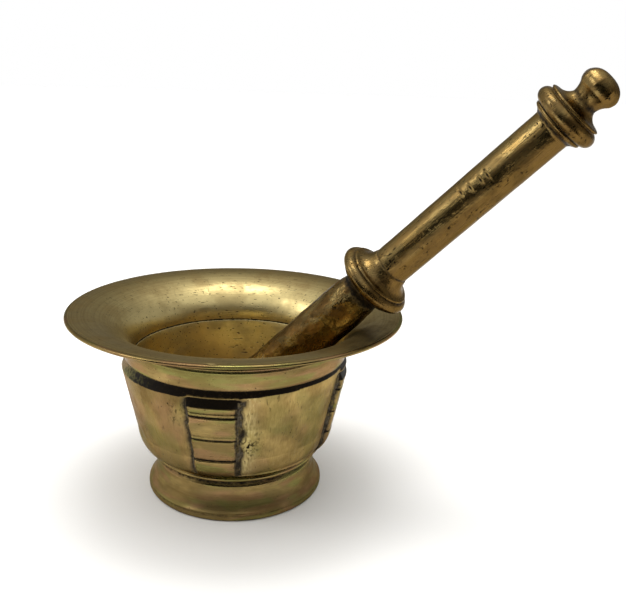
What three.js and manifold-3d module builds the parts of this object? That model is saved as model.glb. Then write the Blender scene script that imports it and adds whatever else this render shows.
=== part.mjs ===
// A cast-brass mortar on a turned foot, with the loose pestle that leans in it.
// Units are millimetres. +Z is up and -Y faces the viewer. The origin is the centre of the foot's
// flat underside, where the mortar stands on a table.

import * as THREE from 'three';
import { mergeVertices } from 'three/addons/utils/BufferGeometryUtils.js';
import Module from 'manifold-3d';

const wasm = await Module();
wasm.setup();

// ---- Driving dimensions ----

const RIM_RADIUS = 65;          // outermost edge of the flared lip
const RIM_HEIGHT = 74;          // top of the lip above the table
const LIP_EDGE = 1.3;           // thickness of the lip where its edge starts to round
const LIP_LAND = 0.6;           // narrow flat on top of the edge

const FOOT_RADIUS = 35.2;       // widest line of the foot
const FOOT_EDGE = 1.4;          // rounding of the foot's lower edge
const FOOT_WAIST_RADIUS = 31.6; // narrowest part of the hollow moulding above it
const FOOT_WAIST_HEIGHT = 12.6;
const BEAD_ROOT_RADIUS = 31.2;
const BEAD_RADIUS = 34;         // reach of the bead turned between foot and body
const BEAD_FOOT_HEIGHT = 14.2;
const BEAD_TOP_HEIGHT = 17.4;

const BODY_FOOT_RADIUS = 35.8;  // body's bottom edge
const BODY_FOOT_HEIGHT = 19.5;
const BODY_CURVE_RADIUS = 38;   // pull of the rounding, for a curve through both of its ends
const BODY_CURVE_HEIGHT = 22.6;
const BODY_TURN_RADIUS = 39.3;  // where the rounded bottom of the body meets its straight side
const BODY_TURN_HEIGHT = 27.1;
const SHOULDER_RADIUS = 44.45;  // top of the straight side
const SHOULDER_HEIGHT = 50.2;
const NECK_RADIUS = 43.4;       // turned band between the shoulder and the lip
const NECK_HEIGHT = 54.8;
const LIP_ROOT_RADIUS = 46.6;   // where the lip's underside leaves the neck
const LIP_ROOT_HEIGHT = 64.9;
const LIP_CURVE_RADIUS = 55;    // pull of the lip's hollow underside
const LIP_CURVE_HEIGHT = 70.8;

const THROAT_RADIUS = 40.4;     // foot of the trumpet-shaped flare inside the lip
const THROAT_HEIGHT = 57;
const THROAT_GROOVE = 0.8;      // depth of the turned groove under the flare
const BOWL_TURN_RADIUS = 36.3;  // where the bowl's wall turns into its round bottom
const BOWL_CORNER = 22;         // radius of that turn
const BOWL_FLOOR = 12.5;        // height of the bowl's floor above the table

const RIB_COUNT = 4;
const RIB_FIRST_HEADING = -12;  // degrees from the front, towards +X
const RIB_TOP_WIDTH = 17;
const RIB_FOOT_WIDTH = 12.8;
const WALL_INSET = 1.1;         // the cast wall lies this far behind the turned rib faces
const WALL_OFFSET_X = -1.1;     // the cast wall isn't quite true to the lathe's centre

const PESTLE_POINT = [48.5, -17, 87.3]; // on the pestle's centre line, just under its lower collar
const PESTLE_LEAN = 44.6;       // degrees from upright
const PESTLE_HEADING = -28;     // degrees from +X, negative towards the viewer

const HANDLE_RADIUS = 7.4;      // handle above the lower collar
const STEM_RADIUS = 8.9;        // stem below it
const HEAD_RADIUS = 15.5;       // rounded grinding head
const HEAD_CENTRE = -82.7;      // along the pestle from its point
const HEAD_FLARE_START = -57;   // where the stem begins to widen into the head
const COLLAR_RADIUS = 15;       // lower collar, just above the rim
const COLLAR_CENTRE = 4.3;
const UPPER_COLLAR_RADIUS = 12.2;
const UPPER_COLLAR_START = 86.3;
const KNOB_NECK_RADIUS = 5;
const KNOB_RADIUS = 6.9;
const KNOB_END = 109.2;

const MORTAR_SIDES = 56;
const PESTLE_SIDES = 24;
const CURVE_STEPS = 4;

// ---- Helpers ----

function radians(degrees) {
  return THREE.MathUtils.degToRad(degrees);
}

// Turns an outline of (radius, height) about +Z.
function turned(outline, sides) {
  const geometry = new THREE.LatheGeometry(outline.getPoints(CURVE_STEPS), sides);
  return geometry.rotateX(Math.PI / 2);
}

function toSolid(geometry) {
  const bare = geometry.clone();
  bare.deleteAttribute('normal');
  bare.deleteAttribute('uv');
  const merged = mergeVertices(bare, 1e-4);
  return new wasm.Manifold(new wasm.Mesh({
    numProp: 3,
    vertProperties: new Float32Array(merged.attributes.position.array),
    triVerts: new Uint32Array(merged.index.array),
  }));
}

function toGeometry(solid) {
  const mesh = solid.getMesh();
  const geometry = new THREE.BufferGeometry();
  geometry.setAttribute('position', new THREE.BufferAttribute(mesh.vertProperties, mesh.numProp));
  geometry.setIndex(new THREE.BufferAttribute(mesh.triVerts, 1));
  geometry.computeVertexNormals();
  return geometry;
}

function named(name, geometry, color, roughness) {
  const material = new THREE.MeshStandardMaterial({ color, roughness, metalness: 1 });
  const mesh = new THREE.Mesh(geometry, material);
  mesh.name = name;
  return mesh;
}

// ---- Mortar ----

// The whole turned outline, up the outside and down into the bowl.
function mortarOutline() {
  const outline = new THREE.Path();
  outline.moveTo(0, 0);

  // Foot: a flat underside, a rounded edge, a hollow moulding and a bead under the body.
  outline.lineTo(FOOT_RADIUS - FOOT_EDGE, 0);
  outline.quadraticCurveTo(FOOT_RADIUS, 0, FOOT_RADIUS, FOOT_EDGE);
  outline.quadraticCurveTo(FOOT_WAIST_RADIUS, FOOT_WAIST_HEIGHT / 2, FOOT_WAIST_RADIUS, FOOT_WAIST_HEIGHT);
  outline.lineTo(BEAD_ROOT_RADIUS, BEAD_FOOT_HEIGHT);
  outline.quadraticCurveTo(
    BEAD_RADIUS, (BEAD_FOOT_HEIGHT + BEAD_TOP_HEIGHT) / 2, BEAD_ROOT_RADIUS + 1, BEAD_TOP_HEIGHT,
  );
  outline.lineTo(BEAD_ROOT_RADIUS + 1, BODY_FOOT_HEIGHT - 0.5);

  // Body: a rounded bottom, a straight side, a chamfered shoulder and the neck band.
  outline.lineTo(BODY_FOOT_RADIUS, BODY_FOOT_HEIGHT);
  outline.quadraticCurveTo(BODY_CURVE_RADIUS, BODY_CURVE_HEIGHT, BODY_TURN_RADIUS, BODY_TURN_HEIGHT);
  outline.lineTo(SHOULDER_RADIUS, SHOULDER_HEIGHT);
  outline.lineTo(NECK_RADIUS, NECK_HEIGHT);
  outline.quadraticCurveTo(
    NECK_RADIUS, (NECK_HEIGHT + LIP_ROOT_HEIGHT) / 2, LIP_ROOT_RADIUS - 1.4, LIP_ROOT_HEIGHT - 1.4,
  );
  outline.lineTo(LIP_ROOT_RADIUS, LIP_ROOT_HEIGHT);

  // Lip: a thin flare with a rounded edge.
  outline.quadraticCurveTo(LIP_CURVE_RADIUS, LIP_CURVE_HEIGHT, RIM_RADIUS - 0.8, RIM_HEIGHT - LIP_EDGE);
  outline.quadraticCurveTo(RIM_RADIUS, RIM_HEIGHT - 1, RIM_RADIUS, RIM_HEIGHT - 0.3);
  outline.lineTo(RIM_RADIUS - LIP_LAND, RIM_HEIGHT);

  // Inside: the trumpet flare, the turned groove under it, the wall and the round bottom.
  const flareTop = RIM_RADIUS - LIP_LAND;
  const flareWidth = flareTop - THROAT_RADIUS;
  const flareDepth = RIM_HEIGHT - THROAT_HEIGHT;
  outline.absellipse(
    flareTop, THROAT_HEIGHT, flareWidth, flareDepth, Math.PI / 2, Math.PI, false, 0,
  );
  outline.lineTo(THROAT_RADIUS + THROAT_GROOVE, THROAT_HEIGHT - 0.6);
  outline.lineTo(THROAT_RADIUS - 0.5, THROAT_HEIGHT - 1.8);
  const cornerHeight = BOWL_FLOOR + BOWL_CORNER;
  outline.lineTo(BOWL_TURN_RADIUS, cornerHeight);
  outline.absarc(
    BOWL_TURN_RADIUS - BOWL_CORNER, cornerHeight, BOWL_CORNER, 0, -Math.PI / 2, true,
  );
  outline.lineTo(0, BOWL_FLOOR);
  return outline;
}

// The ring of metal outside the cast wall. It is cut away everywhere but at the ribs.
function wallRing() {
  const outside = SHOULDER_RADIUS + 6;
  const ringFoot = BODY_FOOT_HEIGHT - 0.4;
  const ringTop = NECK_HEIGHT - 0.6;
  const outline = new THREE.Path();
  outline.moveTo(BODY_FOOT_RADIUS - WALL_INSET, ringFoot);
  outline.lineTo(outside, ringFoot);
  outline.lineTo(outside, ringTop);
  outline.lineTo(NECK_RADIUS - 0.7, ringTop);
  outline.lineTo(SHOULDER_RADIUS - WALL_INSET, SHOULDER_HEIGHT);
  outline.lineTo(BODY_TURN_RADIUS - WALL_INSET, BODY_TURN_HEIGHT);
  outline.quadraticCurveTo(
    BODY_CURVE_RADIUS - WALL_INSET, BODY_CURVE_HEIGHT, BODY_FOOT_RADIUS - WALL_INSET, ringFoot,
  );
  return toSolid(turned(outline, MORTAR_SIDES)).translate([WALL_OFFSET_X, 0, 0]);
}

// A tapered block standing where one rib stays, facing the heading.
function ribBlock(heading) {
  const face = new THREE.Shape();
  face.moveTo(-RIB_FOOT_WIDTH / 2, BODY_FOOT_HEIGHT - 2);
  face.lineTo(RIB_FOOT_WIDTH / 2, BODY_FOOT_HEIGHT - 2);
  face.lineTo(RIB_TOP_WIDTH / 2, NECK_HEIGHT + 2);
  face.lineTo(-RIB_TOP_WIDTH / 2, NECK_HEIGHT + 2);
  const block = new THREE.ExtrudeGeometry(face, { depth: RIM_RADIUS, bevelEnabled: false });
  block.rotateX(Math.PI / 2);
  block.rotateZ(radians(heading));
  return toSolid(block);
}

function mortarGeometry() {
  let ring = wallRing();
  for (let i = 0; i < RIB_COUNT; i += 1) {
    const heading = RIB_FIRST_HEADING + (i * 360) / RIB_COUNT;
    ring = ring.subtract(ribBlock(heading));
  }
  const body = toSolid(turned(mortarOutline(), MORTAR_SIDES));
  return toGeometry(body.subtract(ring));
}

// ---- Pestle ----

// Outline along the pestle's own centre line, from the grinding head up to the knob.
function pestleOutline() {
  const outline = new THREE.Path();
  outline.moveTo(0, HEAD_CENTRE - HEAD_RADIUS);
  outline.absarc(0, HEAD_CENTRE, HEAD_RADIUS, -Math.PI / 2, 0.3, false);
  outline.quadraticCurveTo(STEM_RADIUS + 0.6, HEAD_CENTRE + 14, STEM_RADIUS, HEAD_FLARE_START);

  // Lower collar: an under-disc, the large round, a small bead and a flare up to the handle.
  const collar = COLLAR_CENTRE;
  outline.lineTo(STEM_RADIUS - 1, collar - 7);
  outline.lineTo(STEM_RADIUS, collar - 5.2);
  outline.lineTo(STEM_RADIUS + 2, collar - 3.4);
  outline.lineTo(COLLAR_RADIUS - 2, collar - 2);
  outline.quadraticCurveTo(COLLAR_RADIUS + 0.3, collar - 1, COLLAR_RADIUS, collar + 0.2);
  outline.quadraticCurveTo(COLLAR_RADIUS - 0.6, collar + 1.6, COLLAR_RADIUS - 2.9, collar + 2);
  outline.quadraticCurveTo(COLLAR_RADIUS - 2.6, collar + 3.2, COLLAR_RADIUS - 4.6, collar + 3.6);
  outline.quadraticCurveTo(HANDLE_RADIUS + 0.9, collar + 4.8, HANDLE_RADIUS + 0.5, collar + 8.4);

  // Handle and upper collar: an under-disc, the large round, a thin bead and a cone.
  const upper = UPPER_COLLAR_START;
  outline.lineTo(HANDLE_RADIUS, collar + 9);
  outline.lineTo(HANDLE_RADIUS, upper);
  outline.lineTo(HANDLE_RADIUS + 1.9, upper + 1.1);
  outline.lineTo(HANDLE_RADIUS + 2.4, upper + 2.6);
  outline.quadraticCurveTo(UPPER_COLLAR_RADIUS, upper + 3.4, UPPER_COLLAR_RADIUS, upper + 5.8);
  outline.quadraticCurveTo(UPPER_COLLAR_RADIUS - 0.3, upper + 8, HANDLE_RADIUS + 3, upper + 8.8);
  outline.lineTo(HANDLE_RADIUS + 2.6, upper + 9.8);
  outline.quadraticCurveTo(HANDLE_RADIUS + 0.2, upper + 11, KNOB_NECK_RADIUS, upper + 13.6);

  // Knob: a flared end closed by a dome.
  outline.quadraticCurveTo(KNOB_NECK_RADIUS + 0.8, KNOB_END - 8, KNOB_RADIUS, KNOB_END - 5.6);
  outline.quadraticCurveTo(KNOB_RADIUS + 0.2, KNOB_END - 1.6, KNOB_RADIUS - 3.4, KNOB_END - 0.3);
  outline.lineTo(0, KNOB_END);
  return outline;
}

// ---- The two castings, where they rest ----

const assembly = new THREE.Group();

assembly.add(named('mortar', mortarGeometry(), 0x8f7438, 0.38));

const pestle = named('pestle', turned(pestleOutline(), PESTLE_SIDES), 0x8a6c34, 0.42);
pestle.position.set(...PESTLE_POINT);
pestle.rotation.set(0, radians(PESTLE_LEAN), radians(PESTLE_HEADING), 'ZYX');
assembly.add(pestle);

export default assembly;
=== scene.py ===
# Brass mortar and pestle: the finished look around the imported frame, laid out as an add-on.
# Outlines are in millimetres as (radius, height) and are scaled to metres when a mesh is made.

from math import atan2, cos, exp, hypot, pi, radians, sin

import bmesh
import bpy
from bpy.props import FloatProperty, FloatVectorProperty, IntProperty, PointerProperty
from bpy.types import Operator, Panel, PropertyGroup
from mathutils import Euler, Matrix, Vector, noise


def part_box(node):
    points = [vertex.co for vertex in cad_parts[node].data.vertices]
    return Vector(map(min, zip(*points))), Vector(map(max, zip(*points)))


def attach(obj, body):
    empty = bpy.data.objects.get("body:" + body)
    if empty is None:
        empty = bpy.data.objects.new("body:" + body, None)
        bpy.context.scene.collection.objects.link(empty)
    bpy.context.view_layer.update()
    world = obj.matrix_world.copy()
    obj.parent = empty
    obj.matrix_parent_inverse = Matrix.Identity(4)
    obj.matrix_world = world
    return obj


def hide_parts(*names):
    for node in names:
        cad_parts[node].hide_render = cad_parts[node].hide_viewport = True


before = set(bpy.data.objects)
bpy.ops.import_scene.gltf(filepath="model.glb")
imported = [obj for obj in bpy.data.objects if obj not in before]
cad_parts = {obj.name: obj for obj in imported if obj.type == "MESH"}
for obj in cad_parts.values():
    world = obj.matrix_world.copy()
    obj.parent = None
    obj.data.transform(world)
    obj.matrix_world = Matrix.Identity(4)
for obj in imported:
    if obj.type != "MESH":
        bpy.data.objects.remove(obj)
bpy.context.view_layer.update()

bl_info = {
    "name": "Brass Mortar and Pestle",
    "version": (1, 0, 0),
    "blender": (4, 5, 0),
    "location": "3D View > Sidebar > Mortar",
    "description": "Builds an aged brass mortar and its pestle around a packed frame",
    "category": "Object",
}

MM = 0.001
MORTAR_LOW, MORTAR_HIGH = (Vector(corner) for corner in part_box("mortar"))


def linear(hex_colour):
    """Turn an sRGB hex colour into the linear colour that sockets take."""
    channels = [int(hex_colour[i:i + 2], 16) / 255 for i in (1, 3, 5)]
    return [c / 12.92 if c <= 0.04045 else ((c + 0.055) / 1.055) ** 2.4 for c in channels]


# ---------------------------------------------------------------- sizes and colours


class MortarSizes(PropertyGroup):
    rim_radius: FloatProperty(
        name="Rim radius", description="Outermost edge of the lip",
        default=(MORTAR_HIGH.x - MORTAR_LOW.x) / 2, subtype="DISTANCE", unit="LENGTH")
    height: FloatProperty(
        name="Height", description="Top of the lip above the table",
        default=MORTAR_HIGH.z, subtype="DISTANCE", unit="LENGTH")
    rib_count: IntProperty(
        name="Ribs", description="Upright ribs round the body", default=4, min=2, max=8)
    first_rib: FloatProperty(
        name="First rib", description="Heading of the first rib, from the front towards +X",
        default=radians(-12), subtype="ANGLE", unit="ROTATION")
    wall_inset: FloatProperty(
        name="Wall inset", description="How far the cast wall lies behind the rib faces",
        default=0.0012, subtype="DISTANCE", unit="LENGTH")
    wall_offset: FloatProperty(
        name="Wall offset", description="How far the cast wall is off the lathe's centre, towards -X",
        default=0.0009, subtype="DISTANCE", unit="LENGTH")


class PestleSizes(PropertyGroup):
    point: FloatVectorProperty(
        name="Point", description="Place on the pestle's centre line, just under its lower collar",
        default=(0.0485, -0.0170, 0.0873), subtype="XYZ", unit="LENGTH")
    lean: FloatProperty(
        name="Lean", description="Angle from upright", default=radians(44.6),
        subtype="ANGLE", unit="ROTATION")
    heading: FloatProperty(
        name="Heading", description="Direction of the lean, from +X", default=radians(-28),
        subtype="ANGLE", unit="ROTATION")
    handle_radius: FloatProperty(
        name="Handle radius", description="Handle above the lower collar",
        default=0.0075, subtype="DISTANCE", unit="LENGTH")
    stem_radius: FloatProperty(
        name="Stem radius", description="Stem between the lower collar and the head",
        default=0.0089, subtype="DISTANCE", unit="LENGTH")
    head_radius: FloatProperty(
        name="Head radius", description="Rounded grinding head",
        default=0.0155, subtype="DISTANCE", unit="LENGTH")
    head_centre: FloatProperty(
        name="Head centre", description="Along the pestle from its point",
        default=-0.0827, subtype="DISTANCE", unit="LENGTH")


class BrassColours(PropertyGroup):
    burnished: FloatVectorProperty(
        name="Burnished brass", description="Bare brass kept bright by use",
        default=linear("#EEDA9A"), subtype="COLOR", size=3, min=0, max=1)
    clean: FloatVectorProperty(
        name="Clean brass", description="Rubbed brass on high places",
        default=linear("#BDA265"), subtype="COLOR", size=3, min=0, max=1)
    aged: FloatVectorProperty(
        name="Aged brass", description="Brass under a thin brown film",
        default=linear("#867449"), subtype="COLOR", size=3, min=0, max=1)
    # The brown film colour also paints shade on the left of the mortar's walls.
    brown: FloatVectorProperty(
        name="Brown film", description="Thicker film in sheltered places",
        default=linear("#6E5530"), subtype="COLOR", size=3, min=0, max=1)
    # The grime colour also paints shade on the ledge, in the rib recesses, under the lower collar and
    # on the pestle's downward side.
    grime_and_shade: FloatVectorProperty(
        name="Grime", description="Old polish and dirt left in grooves",
        default=linear("#17110A"), subtype="COLOR", size=3, min=0, max=1)


# ---------------------------------------------------------------- outlines


def bend(start, pull, end, steps):
    """Points of a quadratic curve after start, up to and with end."""
    points = []
    for i in range(1, steps + 1):
        t = i / steps
        a, b, c = (1 - t) ** 2, 2 * t * (1 - t), t * t
        points.append(tuple(a * p + b * q + c * r for p, q, r in zip(start, pull, end)))
    return points


def sweep(centre, radii, first, last, steps):
    """Points of an elliptical arc from the first to the last angle, both in degrees."""
    points = []
    for i in range(steps + 1):
        angle = radians(first + (last - first) * i / steps)
        points.append((centre[0] + radii[0] * cos(angle), centre[1] + radii[1] * sin(angle)))
    return points


def fine(points, spacing):
    """Add points along straight stretches, so that no gap is longer than the spacing."""
    result = [points[0]]
    for (r0, z0), (r1, z1) in zip(points, points[1:]):
        count = max(1, round(hypot(r1 - r0, z1 - z0) / spacing + 0.499))
        for i in range(1, count + 1):
            t = i / count
            result.append((r0 + (r1 - r0) * t, z0 + (z1 - z0) * t))
    return result


def smooth(value, low, high):
    """Go softly from 0 at low to 1 at high."""
    t = min(1, max(0, (value - low) / (high - low)))
    return t * t * (3 - 2 * t)


def turn(parts, steps, start=0.0):
    """Spin an outline, given as (zone, points) parts, about +Z into a closed mesh."""
    bm = bmesh.new()
    layer = bm.verts.layers.float.new("zone")
    chain = []
    for zone, points in parts:
        for r, z in points:
            vertex = bm.verts.new((r * MM, 0, z * MM))
            vertex[layer] = zone
            chain.append(vertex)
    edges = [bm.edges.new(pair) for pair in zip(chain, chain[1:])]
    bmesh.ops.rotate(bm, verts=chain, cent=(0, 0, 0), matrix=Matrix.Rotation(start, 3, "Z"))
    bmesh.ops.spin(bm, geom=chain + edges, cent=(0, 0, 0), axis=(0, 0, 1),
                   angle=2 * pi, steps=steps, use_merge=True)
    bmesh.ops.remove_doubles(bm, verts=bm.verts, dist=1e-6)
    bmesh.ops.recalc_face_normals(bm, faces=bm.faces)
    return bm


def finish_piece(name, bm, materials, body, node):
    """Make a mesh object that rides on a body and takes the place of a plain node."""
    mesh = bpy.data.meshes.new(name)
    for face in bm.faces:
        face.smooth = True
    bm.to_mesh(mesh)
    bm.free()
    for material in materials:
        mesh.materials.append(material)
    piece = bpy.data.objects.new(name, mesh)
    bpy.context.scene.collection.objects.link(piece)
    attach(piece, body)
    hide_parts(node)


# ---------------------------------------------------------------- mortar

# Places on the outline, as (radius, height) or as a height, in millimetres.
BODY_FOOT = (35.9, 19.5)
BODY_TURN = (39.4, 27.1)                 # where the curved lower body becomes a straight cone
SHOULDER = (44.5, 50.2)
CHAMFER_FOOT = 49.5                      # the ribs are cut back from here up to the ledge
LEDGE_FOOT = 53.7
LEDGE_TOP = 56.3
NECK_RADIUS = 43.4
THROAT = (40.4, 56.8)                    # where the flare ends and the bowl's wall begins

RIB_TOP_HALF = 8.5                       # half a rib's width, in millimetres
RIB_FOOT_HALF = 6.4
RIB_GROOVES = (                          # height, width and depth of each line across the ribs
    (27.3, 0.9, 0.55),
    (36.2, 0.8, 0.40),
    (37.6, 0.5, 0.12),
    (45.9, 0.9, 0.60),
    (47.6, 0.7, 0.25),
)

COLUMNS = 320                            # columns of faces round the mortar
RIB_COLUMNS = 10                         # of them in half a rib face,
LEFT_SLOPE_COLUMNS = 2                   # in its sharp left side
RIGHT_SLOPE_COLUMNS = 4                  # and in its slacker right side

# Where dirt has settled, as (height, half width, strength).
OUTSIDE_DIRT = (
    (2.6, 0.3, 0.5), (14.2, 0.9, 0.75), (18.3, 0.7, 0.95),
    (64.0, 0.3, 0.8), (65.4, 0.35, 0.8),
)
THROAT_DIRT = ((56.35, 0.36, 0.95),)

LIP_NICK_HEADING = radians(-7)           # from the front towards +X
LIP_NICK_REACH, LIP_NICK_DEPTH = 1.5, 0.45

TURNED, FILED, CAST, BOWL = range(4)     # material places on the mortar
OUTSIDE, BODY, INSIDE = range(3)         # zones of the outline
CAST_FROM = 0.85                         # roughness above which the skin was never filed


def body_line(z):
    """Radius of the plain body at a height, without ribs or grooves."""
    if z >= BODY_TURN[1]:
        t = (z - BODY_TURN[1]) / (SHOULDER[1] - BODY_TURN[1])
        return BODY_TURN[0] + (SHOULDER[0] - BODY_TURN[0]) * t
    t = (z - BODY_FOOT[1]) / (BODY_TURN[1] - BODY_FOOT[1])
    return BODY_FOOT[0] + (BODY_TURN[0] - BODY_FOOT[0]) * (1 - (1 - t) ** 1.9)


def rib_face(z):
    """Radius of a rib's turned face at a height."""
    if z > LEDGE_FOOT:
        return ledge(z)
    if z > CHAMFER_FOOT:
        drop = (z - CHAMFER_FOOT) / (LEDGE_FOOT - 0.5 - CHAMFER_FOOT)
        lip = smooth(z, LEDGE_FOOT - 0.6, LEDGE_FOOT - 0.1)
        recess = SHOULDER[0] - 0.1 - 1.45 * min(1, drop)
        return recess + (ledge(LEDGE_FOOT) - recess) * lip
    radius = body_line(z)
    for height, width, depth in RIB_GROOVES:
        radius -= depth * exp(-((z - height) / (width * 0.36)) ** 2)
    return radius


def ledge(z):
    """Radius of the steep chamfer that the lathe cut under the neck."""
    return NECK_RADIUS - 0.35 + (LEDGE_TOP - z) * 0.42


def mortar_outline(rim, height):
    """The turned outline, from the middle of the underside round to the middle of the bowl."""
    foot = [(0, 0), (27, 0), (27.6, 0.3), (31.2, 0.3), (31.8, 0)]
    foot += [(33.6, 0)] + bend((33.6, 0), (34.9, 0.1), (35.15, 1.2), 5)
    foot += [(35.2, 2.1), (34.95, 2.45), (34.95, 2.75), (35.05, 3.0)]
    foot += bend((35.05, 3.0), (34.3, 3.5), (33.7, 4.6), 4)
    foot += bend((33.7, 4.6), (32.0, 7.4), (31.6, 12.4), 10)
    foot += [(31.55, 13.2), (31.0, 13.6), (30.7, 14.4), (31.1, 15.2)]
    foot += bend((31.1, 15.2), (33.9, 15.4), (33.3, 17.0), 6)
    foot += [(32.8, 17.5), (32.2, 17.9), (32.3, 18.5), (34.2, 19.0), (35.3, 19.2)]

    # Rows follow the turned lines and the chamfer, so that these stay crisp.
    shares = (-0.5, -0.25, 0, 0.25, 0.5)
    face_marks = [z + width * share for z, width, _ in RIB_GROOVES for share in shares]
    tops = [CHAMFER_FOOT - 0.2, CHAMFER_FOOT] + [CHAMFER_FOOT + 0.3 * i for i in range(1, 15)]
    heights = sorted([BODY_FOOT[1] + 0.75 * i for i in range(40)] + face_marks + tops)
    body = [(body_line(z), z) for z in heights]
    body += [(ledge(z), z) for z in (54.0, 54.4, 54.9, 55.4, 55.9, 56.2)]

    neck = [(NECK_RADIUS + 0.05, LEDGE_TOP + 0.1)]
    neck += bend((NECK_RADIUS + 0.05, 56.4), (43.5, 60.6), (45.0, 63.5), 9)
    neck += [(44.7, 63.8), (44.7, 64.1), (45.5, 64.4), (45.7, 65.0)]
    neck += [(45.3, 65.3), (45.4, 65.6), (46.5, 65.8)]
    lip = bend((46.5, 65.8), (55, 71.2), (rim - 0.8, height - 1.5), 22)
    lip += bend(lip[-1], (rim, height - 1.2), (rim, height - 0.8), 4)
    lip += bend(lip[-1], (rim, height - 0.1), (rim - 0.9, height), 6)

    edge = [(rim - 1.2, height), (rim - 1.5, height - 0.02)]
    edge += [(rim - 1.7, height - 0.12), (rim - 1.9, height - 0.04)]
    top = edge[-1]
    reach = (top[0] - THROAT[0], top[1] - THROAT[1])
    flare = edge + sweep((top[0], THROAT[1]), reach, 92, 180, 52)
    bowl = [(40.4, 56.6), (40.5, 56.45), (40.5, 56.25), (40.3, 56.05), (40.2, 55.8)]
    bowl += [(36.3, 34.5)] + sweep((14.3, 34.5), (22, 22), 0, -90, 26)[1:] + [(0, 12.3)]
    outside_low = fine(foot, 2.4)
    outside_high = fine(neck + lip, 1.3)
    inside = fine(flare + bowl, 1.9)
    return [(OUTSIDE, outside_low), (BODY, body), (OUTSIDE, outside_high), (INSIDE, inside)]


def wall_radius(z, heading, sizes):
    """Radius of the cast wall between the ribs, which is a little off the lathe's centre."""
    fade = 0.4 + 0.6 * smooth(z, BODY_FOOT[1], BODY_FOOT[1] + 6)
    radius = body_line(z) - fade * sizes.wall_inset / MM - sizes.wall_offset / MM * sin(heading)
    return min(radius, ledge(z)) if z > SHOULDER[1] else radius


def place_on_body(vertex, sizes, layers):
    """Move one body vertex from the plain turned shape to its rib, rib side or wall.

    The layers then say how dirty, turned, rough, scuffed and pitted the metal is there, and where
    painted shade darkens the ledge and the rib recesses.
    """
    z = vertex.co.z / MM
    heading = atan2(vertex.co.x, -vertex.co.y)
    pitch = 2 * pi / sizes.rib_count
    column = 2 * pi / COLUMNS
    edge = RIB_COLUMNS * column
    off = (heading - sizes.first_rib + pitch / 2) % pitch - pitch / 2
    side = -1 if off < 0 else 1

    # Columns follow the rib's tapering edges, so that these stay clean lines.
    t = smooth(z, BODY_FOOT[1] - 10, LEDGE_TOP + 10)
    half = (RIB_FOOT_HALF + (RIB_TOP_HALF - RIB_FOOT_HALF) * t) / body_line(z)
    if abs(off) <= edge:
        moved = off * half / edge
    else:
        moved = side * (half + (abs(off) - edge) * (pitch / 2 - half) / (pitch / 2 - edge))
    new_heading = heading - off + moved

    # Past the rib's edge come its sloping side, the rough root beside it and the wall.
    beyond = (abs(off) - edge) / column
    slope = LEFT_SLOPE_COLUMNS if side < 0 else RIGHT_SLOPE_COLUMNS
    slope *= 1 + 0.5 * noise.noise(Vector((side * 9, heading, z * 0.22)))
    rib = 1 - smooth(beyond, 0, slope)
    root = exp(-((beyond - slope) / 1.1) ** 2) if beyond > 0 else 0
    below_ledge = 1 - smooth(z, LEDGE_FOOT - 1.6, LEDGE_FOOT)
    root *= below_ledge

    wall = wall_radius(z, new_heading, sizes)
    radius = wall + (rib_face(z) - wall) * rib - 0.7 * root
    spot = Vector((sin(new_heading) * radius, -cos(new_heading) * radius, z))
    rough = min(1, 4 * rib * (1 - rib) + root) * below_ledge
    radius += 0.34 * rough * noise.noise(spot * 0.75) + 0.16 * rough * noise.noise(spot * 1.9)
    radius += (1 - rib) * below_ledge * 0.13 * noise.noise(spot * 0.085 + Vector((3, 1, 7)))
    vertex.co.x = sin(new_heading) * radius * MM
    vertex.co.y = -cos(new_heading) * radius * MM

    grooves = sum(min(1, 2.2 * d) * exp(-((z - h) / (0.5 * w)) ** 2) for h, w, d in RIB_GROOVES)
    # Painted shade: the rib's cut-back recess under the ledge goes dark through the grime layer, as
    # the shade under the lip. The lines across the rib hold dirt.
    recess = smooth(z, CHAMFER_FOOT, CHAMFER_FOOT + 0.7)
    recess *= 1 - smooth(z, LEDGE_FOOT - 0.8, LEDGE_FOOT - 0.4)
    # Painted shade: the ledge under the neck goes dark through the grime layer as the shade under the
    # lip. It is less dark at the left (heading near -80 degrees), where light reaches it.
    if rib > 0.5:
        ledge_here = smooth(z, LEDGE_FOOT, LEDGE_FOOT + 0.5)
    else:
        ledge_here = 1 - smooth(ledge(z) - radius, 0.02, 0.15)
    ledge_here *= smooth(z, SHOULDER[1], SHOULDER[1] + 1)
    rib_lines_and_recess_shade = 0.95 * min(1, grooves) + recess
    ledge_shade = 0.85 - 0.55 * exp(-((new_heading + 1.4) / 0.4) ** 2)
    vertex[layers["grime_and_shade"]] = min(1, rib * rib_lines_and_recess_shade + 0.5 * rough + ledge_shade * ledge_here)
    vertex[layers["turned"]] = max(rib, ledge_here)
    vertex[layers["rough"]] = rough
    if side > 0:
        vertex[layers["scuff"]] = exp(-((beyond - slope - 3) / 3.5) ** 2)
        pitted = exp(-((beyond - slope - 4) / 5) ** 2 - ((z - 33) / 6) ** 2)
    else:
        pitted = 0.8 * exp(-((beyond - slope - 5) / 3) ** 2 - ((z - 45) / 5) ** 2)
    vertex[layers["pitted"]] = pitted


def settle_dirt_and_shade(vertex, layers, lines):
    """Darken a turned vertex where it lies in one of the (height, half width, strength) lines."""
    z = vertex.co.z / MM
    dirt_and_shade = sum(strength * exp(-((z - height) / width) ** 2) for height, width, strength in lines)
    vertex[layers["grime_and_shade"]] = min(1, dirt_and_shade)


def dent(bm, centre, reach, push):
    """Push the surface by a vector, most at the centre and fading out at the reach."""
    for vertex in bm.verts:
        distance = (vertex.co - centre).length
        if distance < reach:
            vertex.co += push * (1 - smooth(distance, 0, reach))


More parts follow.
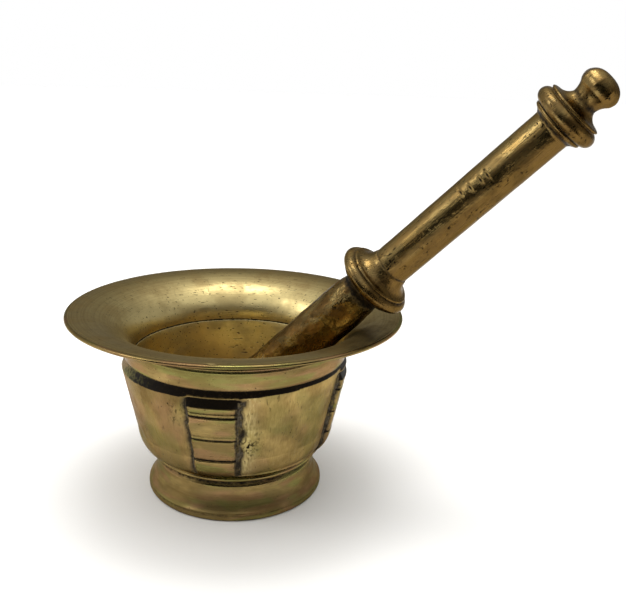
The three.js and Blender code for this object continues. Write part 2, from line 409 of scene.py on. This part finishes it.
class MORTAR_OT_mortar(Operator):
    """Make the mortar casting: foot, ribbed body, neck, lip and bowl in one piece"""
    bl_idname = "mortar.make_mortar"
    bl_label = "Make Mortar"

    def execute(self, context):
        sizes = context.scene.mortar_sizes
        rim, height = sizes.rim_radius / MM, sizes.height / MM
        bm = turn(mortar_outline(rim, height), COLUMNS, sizes.first_rib - pi / 2)
        names = ("grime_and_shade", "turned", "rough", "scuff", "pitted")
        layers = {name: bm.verts.layers.float.new(name) for name in names}
        zone = bm.verts.layers.float["zone"]
        for vertex in bm.verts:
            place = round(vertex[zone])
            if place == BODY:
                place_on_body(vertex, sizes, layers)
            else:
                settle_dirt_and_shade(vertex, layers, THROAT_DIRT if place == INSIDE else OUTSIDE_DIRT)
        nick = Vector((sin(LIP_NICK_HEADING), -cos(LIP_NICK_HEADING), 0)) * (rim - 1.6) * MM
        nick.z = height * MM
        dent(bm, nick, LIP_NICK_REACH * MM, Vector((0, 0, -LIP_NICK_DEPTH * MM)))

        for face in bm.faces:
            zones = [round(v[zone]) for v in face.verts]
            turned = sum(v[layers["turned"]] for v in face.verts) / len(face.verts)
            rough = sum(v[layers["rough"]] for v in face.verts) / len(face.verts)
            if min(zones) == INSIDE:
                face.material_index = BOWL
            elif BODY not in zones or turned > 0.8:
                face.material_index = TURNED
            else:
                face.material_index = CAST if rough > CAST_FROM else FILED
        materials = [turned_brass(context), filed_brass(context),
                     cast_brass(context), bowl_brass(context)]
        finish_piece("mortar_casting", bm, materials, "mortar", "mortar")
        return {"FINISHED"}


# ---------------------------------------------------------------- pestle

STEM, WORN = range(2)                    # material places on the pestle
PESTLE_COLUMNS = 128
HAMMERED_FROM = -80                      # dents start at this height; the head below is smooth
KNOB_FACETS_FROM = 99.5                  # the knob was filed to soft faces above this height
KNOB_FACETS = 8
NICKS = ((61.8, -106), (59.0, -108), (54.7, -110), (51.1, -119))   # height, heading in degrees
NICK_HALF_WIDTH, NICK_HALF_LENGTH, NICK_DEPTH = 0.45, 1.8, 0.5

# Where dirt has settled, as (height, half width, strength). The first three lines, on the stem and
# under the lower collar's disc, are painted shade as well as dirt.
COLLAR_DIRT_AND_SHADE = (
    (-2.0, 2.6, 0.8), (0.6, 0.8, 0.6), (1.9, 0.4, 0.8), (6.5, 0.25, 0.5), (13.0, 0.5, 0.6),
    (86.6, 0.9, 0.7), (88.8, 0.4, 0.7), (94.2, 0.3, 0.6), (98.6, 1.4, 0.6),
)


def pestle_outline(sizes):
    """Outline along the pestle's own centre line, from the head up to the knob."""
    stem, handle = sizes.stem_radius / MM, sizes.handle_radius / MM
    head, centre = sizes.head_radius / MM, sizes.head_centre / MM
    low = sweep((0, centre), (head, head), -90, 17, 26)
    low += bend(low[-1], (stem + 0.6, centre + 14), (stem, -57), 12)
    low += [(stem + 0.1, -30), (stem, -12), (stem - 0.5, -5), (stem - 0.9, -2.4)]

    collar = bend(low[-1], (stem - 0.3, -0.6), (11.0, 0.5), 5)
    collar += [(12.0, 0.8), (12.5, 1.2), (12.4, 1.6), (12.0, 1.9)]
    collar += sweep((12.2, 4.2), (2.8, 2.4), -78, 62, 14) + [(13.1, 6.45), (12.6, 6.5)]
    collar += sweep((12.0, 7.0), (0.9, 0.6), -35, 80, 5)
    collar += bend((11.9, 7.6), (9.0, 8.2), (handle + 0.4, 12.0), 9)
    collar += [(handle + 0.3, 12.4), (handle + 0.1, 12.7)]
    collar += [(handle - 0.05, 12.9), (handle - 0.05, 13.2)]

    # Rows are close together where the nicks are.
    shaft = fine([(handle, 13.8), (handle - 0.05, 49)], 0.7)
    shaft += fine([(handle - 0.05, 49.2), (handle - 0.07, 64)], 0.22)
    shaft += fine([(handle - 0.07, 64.5), (handle - 0.1, 85.6)], 0.7)

    upper = bend(shaft[-1], (handle + 0.4, 86.6), (9.2, 87.2), 4)
    upper += [(9.8, 87.6), (10.0, 88.1), (9.8, 88.6), (9.3, 88.8)]
    upper += sweep((9.3, 91.4), (3.0, 2.8), -70, 74, 14) + [(10.1, 94.2), (10.0, 94.4)]
    upper += [(10.4, 94.6), (10.5, 95.0), (10.1, 95.3), (9.4, 95.5)]
    upper += bend((9.4, 95.5), (6.0, 95.9), (4.9, 98.3), 8)
    knob = bend(upper[-1], (4.7, 100.3), (6.7, 102.6), 8)
    knob += bend((6.7, 102.6), (7.8, 104.8), (6.6, 106.5), 7)
    knob += bend((6.6, 106.5), (5.4, 108.4), (2.8, 109.0), 6) + [(1.4, 109.2), (0, 109.25)]
    return [(STEM, fine(low, 0.7)), (WORN, fine(collar, 0.5)),
            (WORN, shaft), (WORN, fine(upper + knob, 0.5))]


def pestle_frame(sizes):
    """The matrix from the pestle's own upright frame to where it rests."""
    turn_to = Euler((0, sizes.lean, sizes.heading), "XYZ").to_matrix().to_4x4()
    return Matrix.Translation(Vector(sizes.point)) @ turn_to


def wear(vertex, place, layers):
    """Dent the stem, wave and nick the handle, and flatten the knob, at one vertex."""
    x, y, z = vertex.co / MM
    radius = hypot(x, y)
    if radius < 0.01:
        return
    heading = atan2(y, x)
    on_handle = smooth(z, 11, 16) * (1 - smooth(z, 83, 86))
    vertex[layers["grip"]] = on_handle
    spot = Vector((x, y, z))
    change = 0.05 * noise.noise(spot * 0.16)
    if place == STEM and z > HAMMERED_FROM:
        change += 0.20 * noise.noise(Vector((x, y, z * 0.7)) * 0.42)
        change += 0.10 * noise.noise(spot * 1.0)
    elif z > KNOB_FACETS_FROM:
        half = pi / KNOB_FACETS
        facet = cos(half) / cos((heading + 0.2) % (2 * half) - half)
        fade = smooth(z, KNOB_FACETS_FROM, KNOB_FACETS_FROM + 3)
        change += radius * 0.8 * (facet - 0.98) * fade
    change += on_handle * 0.07 * noise.noise(Vector((x, y, z * 0.15)) * 0.5)
    for height, nick_heading in NICKS:
        across = (z - height) / NICK_HALF_WIDTH
        along = (heading - radians(nick_heading)) * radius / NICK_HALF_LENGTH
        cut = exp(-across * across - along * along)
        change -= NICK_DEPTH * cut
        vertex[layers["grime_and_shade"]] = min(1, vertex[layers["grime_and_shade"]] + cut ** 2)
    vertex.co.x *= (radius + change) / radius
    vertex.co.y *= (radius + change) / radius


class MORTAR_OT_pestle(Operator):
    """Make the pestle: head, stem, collars, handle and knob in one piece"""
    bl_idname = "mortar.make_pestle"
    bl_label = "Make Pestle"

    def execute(self, context):
        sizes = context.scene.pestle_sizes
        bm = turn(pestle_outline(sizes), PESTLE_COLUMNS)
        zone = bm.verts.layers.float["zone"]
        layers = {name: bm.verts.layers.float.new(name) for name in ("grime_and_shade", "grip")}
        for vertex in bm.verts:
            settle_dirt_and_shade(vertex, layers, COLLAR_DIRT_AND_SHADE)
            wear(vertex, round(vertex[zone]), layers)
        for face in bm.faces:
            face.material_index = round(sum(v[zone] for v in face.verts) / len(face.verts))
        bmesh.ops.transform(bm, matrix=pestle_frame(sizes), verts=bm.verts)
        materials = [hammered_brass(context), worn_brass(context)]
        finish_piece("pestle_casting", bm, materials, "pestle", "pestle")
        return {"FINISHED"}


# ---------------------------------------------------------------- materials

MIX_AMOUNT, MIX_BELOW, MIX_OVER, MIX_COLOUR = 0, 6, 7, 2     # colour sockets of a Mix node
GRAZING_TINT = "#CDC8BF"    # old film takes light away where the metal is seen edge on
# The painted shade laid with the dirt is matt too.
GRIME_SHINE = 0.15          # dirt is matt; the metal under it takes nothing from this level
TARNISH_PINK, TARNISH_GREEN = "#A47E5C", "#7F8447"


def add(tree, kind, inputs=None, **settings):
    """Add a node: settings are its own properties, inputs are values or other nodes' outputs."""
    node = tree.nodes.new(kind)
    for name, value in settings.items():
        setattr(node, name, value)
    for key, value in (inputs or {}).items():
        if isinstance(value, bpy.types.NodeSocket):
            tree.links.new(value, node.inputs[key])
        else:
            node.inputs[key].default_value = value
    return node


def blank(name, location=(0, 0, 0), rotation=(0, 0, 0)):
    """An empty material, its node tree, and Object coordinates turned to millimetres along a piece."""
    material = bpy.data.materials.new(name)
    material.use_nodes = True
    tree = material.node_tree
    tree.nodes.clear()
    place = add(tree, "ShaderNodeMapping", {
        "Vector": add(tree, "ShaderNodeTexCoord").outputs["Object"],
        "Location": location, "Rotation": rotation, "Scale": (MM, MM, MM)}, vector_type="TEXTURE")
    return material, tree, place.outputs["Vector"]


def mottle(tree, place, size, low, high, detail=3.0):
    """Noise patches with a size in millimetres, as an amount that goes from 0 at low to 1 at high."""
    spread = add(tree, "ShaderNodeMapping", {"Vector": place, "Scale": size}, vector_type="TEXTURE")
    cloud = add(tree, "ShaderNodeTexNoise", {
        "Vector": spread.outputs["Vector"], "Scale": 1.0, "Detail": detail, "Roughness": 0.6})
    return add(tree, "ShaderNodeMapRange", {
        "Value": cloud.outputs["Fac"], "From Min": low, "From Max": high},
        interpolation_type="SMOOTHSTEP").outputs["Result"]


def both(tree, first, second):
    """Where two amounts meet: their product."""
    return add(tree, "ShaderNodeMath", {0: first, 1: second}, operation="MULTIPLY").outputs[0]


def held_dirt_and_shade(tree, place):
    """Grime and painted shade from the mesh's own attribute, with ragged edges."""
    held = add(tree, "ShaderNodeAttribute", attribute_name="grime_and_shade").outputs["Fac"]
    ragged = mottle(tree, place, (1.3, 1.3, 1.3), 0.3, 0.7)
    total = add(tree, "ShaderNodeMath", {0: ragged, 1: 0.3, 2: held}, operation="MULTIPLY_ADD")
    return add(tree, "ShaderNodeMapRange", {
        "Value": total.outputs[0], "From Min": 0.32, "From Max": 0.95},
        interpolation_type="SMOOTHSTEP").outputs["Result"]


def finish_metal(material, tree, colour, coats, gloss, dirt_and_shade, bumps):
    """Lay coats of colour over the metal, and give it gloss and relief.

    coats are (colour, amount), laid in order. gloss is (roughness where the amount is 0, where it is
    1, amount). bumps are (height, depth in millimetres), where a negative depth cuts in.
    """
    colour = (*colour, 1)
    for over, amount in coats:
        colour = add(tree, "ShaderNodeMix", {
            MIX_AMOUNT: amount, MIX_BELOW: colour, MIX_OVER: (*over, 1)},
            data_type="RGBA").outputs[MIX_COLOUR]
    low, high, amount = gloss
    polish = add(tree, "ShaderNodeMapRange", {
        "Value": amount, "To Min": low, "To Max": high}, clamp=False)
    dull = add(tree, "ShaderNodeMath", {
        0: dirt_and_shade, 1: 0.3, 2: polish.outputs["Result"]}, operation="MULTIPLY_ADD")
    bare = add(tree, "ShaderNodeMapRange", {"Value": dirt_and_shade, "To Min": 1.0, "To Max": 0.15})
    shader = add(tree, "ShaderNodeBsdfPrincipled", {
        "Base Color": colour, "Roughness": dull.outputs[0], "Metallic": bare.outputs["Result"],
        "Specular IOR Level": GRIME_SHINE, "Specular Tint": (*linear(GRAZING_TINT), 1)})
    normal = None
    for height, depth in bumps:
        bump = add(tree, "ShaderNodeBump", {
            "Height": height, "Distance": abs(depth) * MM}, invert=depth < 0)
        if normal:
            tree.links.new(normal, bump.inputs["Normal"])
        normal = bump.outputs["Normal"]
    tree.links.new(normal, shader.inputs["Normal"])
    add(tree, "ShaderNodeOutputMaterial", {"Surface": shader.outputs["BSDF"]})
    return material


def turned_brass(context):
    """Lathe-turned brass under a thin tarnish film.

    Fine level lines from the tool, faint pink, green and straw bands where the film thins, and a
    foot edge rubbed matt by tables.
    """
    tones = context.scene.brass_colours
    material, tree, place = blank("turned_brass_with_tarnish_film")
    dirt_and_shade = held_dirt_and_shade(tree, place)
    lines = mottle(tree, place, (45, 45, 0.45), 0.2, 0.8, 2)      # tool feed, drawn coarser than real
    waves = mottle(tree, place, (30, 30, 1.6), 0.3, 0.7, 2)
    pits = mottle(tree, place, (0.8, 0.8, 0.6), 0.73, 0.79, 1)
    smears = mottle(tree, place, (16, 16, 5), 0.4, 0.7)
    up = add(tree, "ShaderNodeSeparateXYZ", {0: place}).outputs["Z"]
    rubbed = add(tree, "ShaderNodeMapRange", {
        "Value": up, "From Min": 13.0, "From Max": 7.0},
        interpolation_type="SMOOTHSTEP").outputs["Result"]
    matt = add(tree, "ShaderNodeMath", {
        0: rubbed, 1: 1.6, 2: smears}, operation="MULTIPLY_ADD").outputs[0]
    coats = [
        (tones.clean, both(tree, mottle(tree, place, (14, 14, 6), 0.45, 0.7), 0.5)),
        (linear(TARNISH_PINK), both(tree, mottle(tree, place, (20, 20, 5), 0.46, 0.6, 1), 0.6)),
        (linear(TARNISH_GREEN), both(tree, mottle(tree, place, (24, 18, 4), 0.47, 0.62, 1), 0.65)),
        (tones.brown, both(tree, smears, 0.4)),
        (tones.brown, both(tree, lines, 0.3)),
        (tones.grime_and_shade, pits),
        (tones.grime_and_shade, dirt_and_shade),
    ]
    bumps = [(lines, 0.010), (waves, 0.02), (pits, -0.10)]
    return finish_metal(material, tree, tones.aged, coats, (0.22, 0.36, matt), dirt_and_shade, bumps)


def filed_brass(context):
    """Cast brass smoothed by hand with a file and emery.

    Satin walls with upright scratches, small casting pits and brown blotches, and painted shade: a
    brown coat that darkens the walls towards the left.
    """
    tones = context.scene.brass_colours
    material, tree, place = blank("file_finished_cast_brass")
    dirt_and_shade = held_dirt_and_shade(tree, place)
    strokes = mottle(tree, place, (0.6, 0.6, 7), 0.25, 0.8, 3)
    scores = mottle(tree, place, (0.7, 0.7, 5), 0.66, 0.74, 1)
    patches = mottle(tree, place, (9, 9, 12), 0.42, 0.64)
    # Painted shade: brown is laid more thickly towards -X, which makes the left of the walls darker.
    across = add(tree, "ShaderNodeSeparateXYZ", {0: place}).outputs["X"]
    left_side_shade = add(tree, "ShaderNodeMapRange", {
        "Value": across, "From Min": 5.0, "From Max": -40.0}).outputs["Result"]
    scuff = add(tree, "ShaderNodeAttribute", attribute_name="scuff").outputs["Fac"]
    pitted = add(tree, "ShaderNodeAttribute", attribute_name="pitted").outputs["Fac"]
    pits = both(tree, mottle(tree, place, (1.1, 1.1, 2.0), 0.5, 0.62, 2), pitted)
    skin = add(tree, "ShaderNodeAttribute", attribute_name="rough").outputs["Fac"]
    specks = mottle(tree, place, (0.9, 0.9, 0.9), 0.73, 0.79, 1)
    coats = [
        (tones.aged, mottle(tree, place, (18, 18, 14), 0.35, 0.65)),
        (tones.brown, both(tree, left_side_shade, 0.4)),
        (tones.brown, both(tree, patches, 0.3)),
        (tones.brown, both(tree, strokes, 0.4)),
        (linear(TARNISH_PINK), both(tree, mottle(tree, place, (20, 20, 16), 0.5, 0.64, 1), 0.4)),
        (linear(TARNISH_GREEN), both(tree, mottle(tree, place, (16, 16, 22), 0.52, 0.66, 1), 0.25)),
        (tones.burnished, both(tree, both(tree, strokes, scuff), 0.55)),
        (tones.grime_and_shade, both(tree, scores, 0.4)),
        (tones.grime_and_shade, pits),
        (tones.grime_and_shade, specks),
        (linear("#4A4336"), skin),
        (tones.grime_and_shade, dirt_and_shade),
    ]
    bumps = [(strokes, 0.05), (patches, 0.04), (scores, -0.05), (pits, -0.18), (specks, -0.15)]
    return finish_metal(material, tree, tones.clean, coats, (0.32, 0.5, patches), dirt_and_shade, bumps)


def cast_brass(context):
    """Brass skin as it left the sand mould.

    Grainy, dark grey-brown and dull, and rubbed bright only on its highest grains.
    """
    tones = context.scene.brass_colours
    material, tree, place = blank("sand_cast_brass_skin")
    dirt_and_shade = held_dirt_and_shade(tree, place)
    grain = mottle(tree, place, (0.9, 0.9, 0.9), 0.3, 0.7, 4)
    lumps = mottle(tree, place, (2.6, 2.6, 2.6), 0.35, 0.65)
    coats = [
        (linear("#6A6152"), mottle(tree, place, (1.8, 1.8, 2.6), 0.3, 0.55)),
        (tones.grime_and_shade, both(tree, grain, 0.5)),
        (tones.grime_and_shade, both(tree, mottle(tree, place, (3, 3, 6), 0.45, 0.6), 0.75)),
    ]
    bumps = [(lumps, 0.25), (grain, 0.15)]
    return finish_metal(material, tree, tones.aged, coats, (0.45, 0.65, lumps), dirt_and_shade, bumps)


def bowl_brass(context):
    """Turned brass burnished by years of the pestle and of cleaning.

    Warm golden and soft in its shine, with faint rings, hand smudges and short dark dashes, and
    browner on the lip, where the pestle doesn't reach.
    """
    tones = context.scene.brass_colours
    material, tree, place = blank("use_burnished_brass")
    dirt_and_shade = held_dirt_and_shade(tree, place)
    around = add(tree, "ShaderNodeVectorMath", {0: place, 1: (1, 1, 0)}, operation="MULTIPLY")
    radius = add(tree, "ShaderNodeVectorMath", {0: around.outputs[0]}, operation="LENGTH")
    height = add(tree, "ShaderNodeSeparateXYZ", {0: place})
    along = add(tree, "ShaderNodeMath", {
        0: radius.outputs["Value"], 1: height.outputs["Z"]}, operation="ADD")
    rings = add(tree, "ShaderNodeTexNoise", {
        "W": along.outputs[0], "Scale": 1.1, "Detail": 3.0}, noise_dimensions="1D").outputs["Fac"]
    smudges = mottle(tree, place, (13, 13, 10), 0.4, 0.66)
    haze = mottle(tree, place, (5, 5, 5), 0.4, 0.7)
    dashes = mottle(tree, place, (2.8, 0.6, 0.9), 0.66, 0.73, 1)
    specks = mottle(tree, place, (0.8, 0.8, 0.8), 0.71, 0.77, 1)
    on_lip = add(tree, "ShaderNodeMapRange", {
        "Value": height.outputs["Z"], "From Min": 64.0, "From Max": 74.0}).outputs["Result"]
    scratches = add(tree, "ShaderNodeMapRange", {
        "Value": rings, "From Min": 0.45, "From Max": 0.6}).outputs["Result"]
    coats = [
        (tones.clean, both(tree, mottle(tree, place, (22, 22, 22), 0.35, 0.65), 0.15)),
        (tones.aged, both(tree, on_lip, 0.75)),
        (tones.brown, both(tree, both(tree, scratches, on_lip), 0.3)),
        (tones.brown, both(tree, smudges, 0.38)),
        (tones.brown, both(tree, haze, 0.12)),
        (tones.grime_and_shade, both(tree, dashes, 0.8)),
        (tones.grime_and_shade, both(tree, specks, 0.8)),
        (tones.grime_and_shade, dirt_and_shade),
    ]
    bumps = [(rings, 0.015), (haze, 0.03), (dashes, -0.04)]
    return finish_metal(material, tree, tones.burnished, coats, (0.30, 0.42, smudges), dirt_and_shade, bumps)


def along_pestle(name, sizes):
    """A blank material whose coordinates run along the pestle, from its point up to the knob."""
    return blank(name, sizes.point, (0, sizes.lean, sizes.heading))


def hammered_brass(context):
    """Brass stem marked by hammering and by blows against the rim.

    Dented and dark, with coppery orange patches where the skin was knocked bare.
    """
    tones = context.scene.brass_colours
    material, tree, place = along_pestle("hammer_marked_brass", context.scene.pestle_sizes)
    dirt_and_shade = held_dirt_and_shade(tree, place)
    blows = mottle(tree, place, (2.4, 2.4, 3.4), 0.3, 0.7, 2)
    grain = mottle(tree, place, (0.8, 0.8, 1.2), 0.3, 0.75, 3)
    bare = mottle(tree, place, (4, 4, 7), 0.48, 0.62)
    pits = mottle(tree, place, (0.9, 0.9, 1.1), 0.64, 0.72, 2)
    coats = [
        (linear("#9A6A30"), both(tree, bare, 0.6)),
        (tones.brown, both(tree, mottle(tree, place, (5, 5, 9), 0.35, 0.6), 0.9)),
        (tones.brown, both(tree, grain, 0.6)),
        (tones.grime_and_shade, both(tree, mottle(tree, place, (7, 7, 12), 0.45, 0.65), 0.45)),
        (tones.grime_and_shade, pits),
        (tones.grime_and_shade, dirt_and_shade),
    ]
    bumps = [(blows, 0.10), (grain, 0.03), (pits, -0.15)]
    return finish_metal(material, tree, tones.aged, coats, (0.24, 0.40, bare), dirt_and_shade, bumps)


def worn_brass(context):
    """Turned brass worn smooth by the hand.

    Semi-bright, with fine scratches along the handle, small pits and a broken brown film. The side
    that lies downwards is darker, partly from a thicker film and partly from painted shade, and the
    collars are darker from dirt in their grooves and from painted shade under the lower collar.
    """
    tones = context.scene.brass_colours
    material, tree, place = along_pestle("hand_worn_brass", context.scene.pestle_sizes)
    dirt_and_shade = held_dirt_and_shade(tree, place)
    strokes = mottle(tree, place, (0.5, 0.5, 22), 0.25, 0.8, 3)
    film = mottle(tree, place, (3.2, 3.2, 18), 0.42, 0.66)
    haze = mottle(tree, place, (4, 4, 6), 0.4, 0.7)
    scores = mottle(tree, place, (0.6, 0.6, 7), 0.64, 0.72, 1)
    worn_through = mottle(tree, place, (6, 6, 9), 0.45, 0.62)
    pits = both(tree, mottle(tree, place, (0.9, 0.9, 1.3), 0.58, 0.67, 2), worn_through)
    # Painted shade, partly a thicker brown film: the side of the pestle that lies downwards (its own
    # +X) gets a dark brown coat and grime.
    side = add(tree, "ShaderNodeSeparateXYZ", {0: place}).outputs["X"]
    downward_film_and_shade = add(tree, "ShaderNodeMapRange", {
        "Value": side, "From Min": 0.0, "From Max": 3.5},
        interpolation_type="SMOOTHSTEP").outputs["Result"]
    grip = add(tree, "ShaderNodeAttribute", attribute_name="grip").outputs["Fac"]
    coats = [
        (tones.aged, grip),
        (tones.clean, both(tree, mottle(tree, place, (7, 7, 22), 0.35, 0.65), 0.45)),
        (linear("#A98344"), both(tree, mottle(tree, place, (6, 6, 14), 0.45, 0.65), 0.4)),
        (linear("#644B22"), both(tree, downward_film_and_shade, 0.92)),
        (tones.grime_and_shade, both(tree, both(tree, haze, downward_film_and_shade), 0.45)),
        (tones.brown, both(tree, film, 0.55)),
        (tones.brown, both(tree, strokes, 0.45)),
        (tones.grime_and_shade, both(tree, scores, 0.35)),
        (tones.grime_and_shade, pits),
        (tones.grime_and_shade, dirt_and_shade),
    ]
    bumps = [(strokes, 0.022), (haze, 0.05), (scores, -0.02), (pits, -0.12)]
    return finish_metal(material, tree, linear("#75633F"), coats, (0.22, 0.36, film), dirt_and_shade, bumps)


# ---------------------------------------------------------------- stage

# Places and sizes on the stage are in metres.
CAMERA_PLACE = (0, -0.2998, 0.1636)
CAMERA_DOWN, CAMERA_RIGHT, CAMERA_ROLL = 0.279, 0.100, 0.033     # radians
CAMERA_LENS = 45.6                       # millimetres, on a sensor 36 mm wide
FLOOR_RADIUS = 6
FLAG_RADIUS, FLAG_HEIGHT = 0.26, 0.22
FLAG_START, FLAG_SPREAD = radians(-55), radians(105)
GLOW_STRENGTH, GLOW_SPREAD = 1.9, radians(80)

# Name, place, aim, (width, height) and watts of each soft light.
SOFTBOXES = (
    ("overhead_softbox", (0.0, 0.05, 0.9), (0, 0, 0), (0.4, 0.25), 1.9),
    ("left_window", (-0.9, -0.1, 0.8), (0, 0, 0.05), (0.4, 0.5), 2.5),
)


def make_floor():
    """A wide pale floor, plain enough to read as white paper."""
    bm = bmesh.new()
    bmesh.ops.create_circle(bm, cap_ends=True, segments=64, radius=FLOOR_RADIUS)
    mesh = bpy.data.meshes.new("floor")
    bm.to_mesh(mesh)
    bm.free()
    material = bpy.data.materials.new("white_paper")
    material.use_nodes = True
    shader = material.node_tree.nodes["Principled BSDF"]
    shader.inputs["Base Color"].default_value = (*linear("#F2F1EE"), 1)
    shader.inputs["Roughness"].default_value = 0.9
    mesh.materials.append(material)
    floor = bpy.data.objects.new("floor", mesh)
    bpy.context.scene.collection.objects.link(floor)


def make_world(scene):
    """Grey walls, darker in front and brighter at the left, under a pale ceiling.

    Behind the object itself only plain white paper shows.
    """
    world = bpy.data.worlds.new("studio")
    world.use_nodes = True
    tree = world.node_tree
    tree.nodes.clear()
    ray = add(tree, "ShaderNodeTexCoord").outputs["Generated"]
    direction = add(tree, "ShaderNodeSeparateXYZ", {0: ray})
    front = add(tree, "ShaderNodeMapRange", {
        "Value": direction.outputs["Y"], "From Min": -0.65, "From Max": -0.25,
        "To Min": 0.24, "To Max": 0.34}, interpolation_type="SMOOTHSTEP")
    ceiling = add(tree, "ShaderNodeMapRange", {
        "Value": direction.outputs["Z"], "From Min": 0.40, "From Max": 0.85,
        "To Min": 0.0, "To Max": 0.9}, interpolation_type="SMOOTHSTEP")
    left = add(tree, "ShaderNodeMapRange", {
        "Value": direction.outputs["X"], "From Min": -0.3, "From Max": -0.8,
        "To Min": 1.0, "To Max": 1.9}, interpolation_type="SMOOTHSTEP")
    walls = add(tree, "ShaderNodeMath", {
        0: front.outputs["Result"], 1: left.outputs["Result"]}, operation="MULTIPLY")
    level = add(tree, "ShaderNodeMath", {
        0: walls.outputs[0], 1: ceiling.outputs["Result"]}, operation="MAXIMUM")
    room = add(tree, "ShaderNodeBackground", {"Color": level.outputs[0], "Strength": 1.0})
    paper = add(tree, "ShaderNodeBackground", {"Color": (1, 1, 1, 1), "Strength": 1.0})
    seen = add(tree, "ShaderNodeLightPath").outputs["Is Camera Ray"]
    room_or_paper = add(tree, "ShaderNodeMixShader", {
        0: seen, 1: room.outputs["Background"], 2: paper.outputs["Background"]})
    add(tree, "ShaderNodeOutputWorld", {"Surface": room_or_paper.outputs["Shader"]})
    scene.world = world


def make_flag():
    """A dark curved card in front of the mortar, seen only in its reflections."""
    bm = bmesh.new()
    ends = [bm.verts.new((0, -FLAG_RADIUS, z)) for z in (0.0, FLAG_HEIGHT)]
    edge = bm.edges.new(ends)
    bmesh.ops.rotate(bm, verts=ends, cent=(0, 0, 0), matrix=Matrix.Rotation(FLAG_START, 3, "Z"))
    bmesh.ops.spin(bm, geom=ends + [edge], cent=(0, 0, 0), axis=(0, 0, 1),
                   angle=FLAG_SPREAD, steps=40)
    mesh = bpy.data.meshes.new("front_flag")
    bm.to_mesh(mesh)
    bm.free()
    material = bpy.data.materials.new("black_card")
    material.use_nodes = True
    shader = material.node_tree.nodes["Principled BSDF"]
    shader.inputs["Base Color"].default_value = (*linear("#14130F"), 1)
    shader.inputs["Roughness"].default_value = 1.0
    mesh.materials.append(material)
    flag = bpy.data.objects.new("front_flag", mesh)
    flag.visible_camera = flag.visible_diffuse = flag.visible_shadow = False
    bpy.context.scene.collection.objects.link(flag)


def make_softbox(name, place, aim, size, watts):
    """A rectangular soft light that faces a point."""
    light = bpy.data.lights.new(name, "AREA")
    light.shape = "RECTANGLE"
    light.size, light.size_y = size
    light.energy = watts
    box = bpy.data.objects.new(name, light)
    box.location = place
    box.rotation_euler = (Vector(aim) - Vector(place)).to_track_quat("-Z", "Y").to_euler()
    bpy.context.scene.collection.objects.link(box)


def make_glow(scene):
    """Very soft light from above, left out of reflections."""
    glow = bpy.data.lights.new("ceiling_glow", "SUN")
    glow.energy = GLOW_STRENGTH
    glow.angle = GLOW_SPREAD
    ceiling = bpy.data.objects.new("ceiling_glow", glow)
    ceiling.visible_glossy = False
    scene.collection.objects.link(ceiling)


def make_camera(scene):
    """A camera in front and a little above the rim, tilted down into the bowl."""
    camera = bpy.data.cameras.new("camera")
    camera.sensor_width = 36
    camera.lens = CAMERA_LENS
    camera.clip_start = 0.01
    stand = bpy.data.objects.new("camera", camera)
    aim = Matrix.Rotation(-CAMERA_RIGHT, 4, "Z") @ Matrix.Rotation(pi / 2 - CAMERA_DOWN, 4, "X")
    roll = Matrix.Rotation(CAMERA_ROLL, 4, "Z")
    stand.matrix_world = Matrix.Translation(CAMERA_PLACE) @ aim @ roll
    scene.collection.objects.link(stand)
    scene.camera = stand


class MORTAR_OT_stage(Operator):
    """Set up the pale floor, the soft studio light and the camera"""
    bl_idname = "mortar.make_stage"
    bl_label = "Make Stage"

    def execute(self, context):
        scene = context.scene
        make_floor()
        make_world(scene)
        make_flag()
        for softbox in SOFTBOXES:
            make_softbox(*softbox)
        make_glow(scene)
        make_camera(scene)
        scene.view_settings.view_transform = "Standard"
        return {"FINISHED"}


# ---------------------------------------------------------------- add-on


class MORTAR_PT_builder(Panel):
    bl_idname = "MORTAR_PT_builder"
    bl_label = "Mortar and Pestle"
    bl_space_type = "VIEW_3D"
    bl_region_type = "UI"
    bl_category = "Mortar"

    def draw(self, context):
        layout = self.layout
        scene = context.scene
        for group in (scene.mortar_sizes, scene.pestle_sizes, scene.brass_colours):
            for name in group.__annotations__:
                layout.prop(group, name)
            layout.separator()
        for maker in MAKERS:
            layout.operator(maker.bl_idname)


MAKERS = (MORTAR_OT_mortar, MORTAR_OT_pestle, MORTAR_OT_stage)
CLASSES = (MortarSizes, PestleSizes, BrassColours, *MAKERS, MORTAR_PT_builder)


def register():
    for cls in CLASSES:
        bpy.utils.register_class(cls)
    bpy.types.Scene.mortar_sizes = PointerProperty(type=MortarSizes)
    bpy.types.Scene.pestle_sizes = PointerProperty(type=PestleSizes)
    bpy.types.Scene.brass_colours = PointerProperty(type=BrassColours)


def unregister():
    del bpy.types.Scene.brass_colours
    del bpy.types.Scene.pestle_sizes
    del bpy.types.Scene.mortar_sizes
    for cls in reversed(CLASSES):
        bpy.utils.unregister_class(cls)


def main():
    register()
    bpy.ops.mortar.make_mortar()
    bpy.ops.mortar.make_pestle()
    bpy.ops.mortar.make_stage()


if __name__ == "__main__":
    main()
